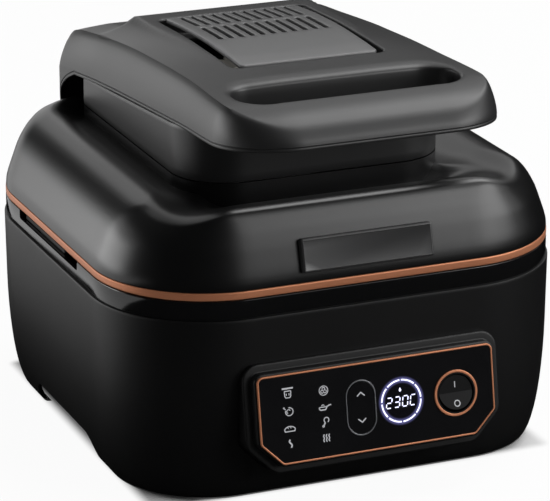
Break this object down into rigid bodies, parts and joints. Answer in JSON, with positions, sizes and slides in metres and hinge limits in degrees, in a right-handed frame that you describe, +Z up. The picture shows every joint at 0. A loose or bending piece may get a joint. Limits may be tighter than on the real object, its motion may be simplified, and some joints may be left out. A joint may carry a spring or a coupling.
{
  "type": "multicooker",
  "caption": "Countertop multicooker with a rear-hinged domed lid, raised handle bar with a finger slot, vented top, removable pot with crisper plate, touch panel and rocker switch.",
  "frame": {"origin": "on the table, under the middle of the machine", "axes": "+Z up, the control panel faces -Y, +X to the right seen from the front"},
  "size_m": [0.353, 0.4086, 0.296],
  "materials": {
    "body_black": "fine matte texture",
    "rim_black": "polished",
    "lid_black": "satin gloss",
    "cover_grey": "fine satin texture",
    "panel_black": "high gloss with printed icons",
    "copper": "copper-coloured, satin anodised",
    "steel": "brushed",
    "heater": "dark annealed tube",
    "pot_coating": "dark non-stick coating",
    "cast_plate": "as cast",
    "rubber": "matte",
    "silicone": "matte",
    "motor_steel": "plated",
    "board": "solder mask",
    "inner_plastic": "natural",
    "display": "smoked window",
    "magnet": "plated"
  },
  "bodies": {
    "base": {"base_shell": "body_black", "base_bottom_plate": "body_black", "foot_screws": "steel", "rim_bezel": "rim_black", "cavity_liner": "steel", "hot_plate": "cast_plate", "lower_heating_element": "heater", "sensor_cup": "steel", "cooking_pot": "pot_coating", "crisper_plate": "pot_coating", "control_pod": "body_black", "touch_panel": "panel_black", "panel_trim": "copper", "key_bezel": "steel", "key_cradle": "inner_plastic", "display_module": "display", "control_board": "board", "power_board": "board", "rocker_ring": "copper", "rocker_housing": "rim_black", "hinge_housing": "body_black", "hinge_bracket_left": "body_black", "hinge_bracket_right": "body_black", "hinge_pin": "steel", "cord_gland": "rubber", "reed_switch": "inner_plastic", "foot_front_left": "rubber", "foot_rear_left": "rubber", "foot_front_right": "rubber", "foot_rear_right": "rubber"},
    "lid": {"lid_dome": "lid_black", "lid_trim_ring": "copper", "lid_neck": "cover_grey", "lid_top_cover": "cover_grey", "handle_lower_shell": "cover_grey", "vent_grille": "cover_grey", "badge_plate": "lid_black", "lid_hinge_arm": "body_black", "lid_liner": "steel", "lid_seal": "silicone", "upper_heating_element": "heater", "element_clips": "steel", "fan_guard": "steel", "lid_heat_shield": "steel", "motor_bracket": "steel", "fan_motor": "motor_steel", "lid_thermostat": "steel", "lid_magnet": "magnet"},
    "fan": {"convection_fan": "steel", "motor_shaft": "steel", "cooling_fan": "inner_plastic"},
    "rocker": {"power_rocker": "rim_black"},
    "key": {"adjust_key": "panel_black"},
    "sensor": {"sensor_button": "steel", "sensor_spring": "steel"}
  },
  "joints": [
    {"name": "lid_hinge", "type": "hinge", "parent": "base", "child": "lid", "pos_m": [0, 0.1905, 0.161], "axis": [-1, 0, 0], "range_deg": [0, 80]},
    {"name": "fan_spin", "type": "hinge", "parent": "lid", "child": "fan", "pos_m": [0, 0.02, 0.2], "axis": [0, 0, 1], "continuous": true},
    {"name": "power_rocker_tilt", "type": "hinge", "parent": "base", "child": "rocker", "pos_m": [0.0607, -0.19426, 0.07016], "axis": [1, 0, 0], "range_deg": [0, 14]},
    {"name": "adjust_key_tilt", "type": "hinge", "parent": "base", "child": "key", "pos_m": [-0.0133, -0.19288, 0.06992], "axis": [1, 0, 0], "range_deg": [-2.5, 2.5], "stiffness_Nm_per_rad": 0.6},
    {"name": "sensor_press", "type": "slide", "parent": "base", "child": "sensor", "axis": [0, 0, -1], "range_m": [0, 0.0015], "stiffness_N_per_m": 400, "springref_m": -0.003, "deforming": ["sensor_spring"]}
  ]
}
